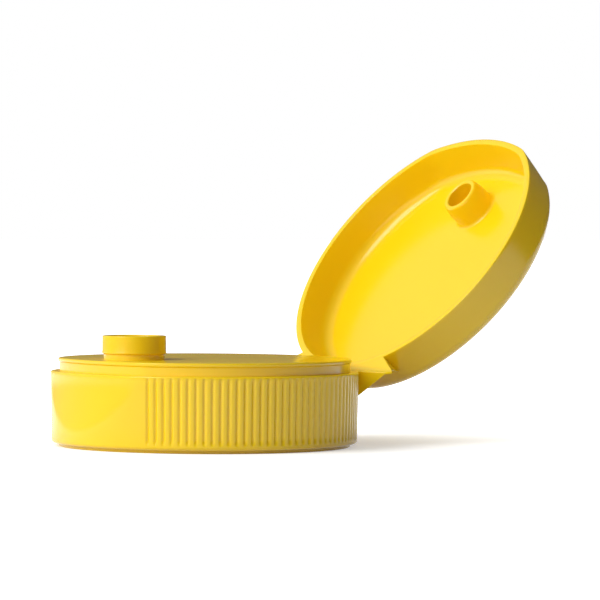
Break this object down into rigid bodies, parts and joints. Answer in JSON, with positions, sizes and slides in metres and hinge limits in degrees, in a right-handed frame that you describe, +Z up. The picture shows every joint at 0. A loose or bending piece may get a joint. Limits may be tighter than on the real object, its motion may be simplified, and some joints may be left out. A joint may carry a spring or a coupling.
{
  "type": "flip top cap",
  "caption": "Round flip-top dispensing closure with ribbed screw skirt, raised deck, short nozzle and hinged snap lid standing open.",
  "frame": {"origin": "centre of the thread bore's mouth, in the plane of the foot ring that the cap stands on", "axes": "+Z up along the bore axis from the foot ring to the deck, -Y towards the nozzle and the thumb recess, +X along the living hinge"},
  "size_m": [0.0414, 0.0699, 0.0415],
  "materials": {
    "yellow_pp": "gloss"
  },
  "bodies": {
    "base": {"closure_base": "yellow_pp", "hinge_film": "yellow_pp"},
    "lid": {"flip_lid": "yellow_pp"}
  },
  "joints": [
    {"name": "lid_hinge", "type": "hinge", "parent": "base", "child": "lid", "pos_m": [0, 0.0207, 0.01], "axis": [1, 0, 0], "range_deg": [-51.34, 128.66], "deforming": ["hinge_film"]}
  ]
}
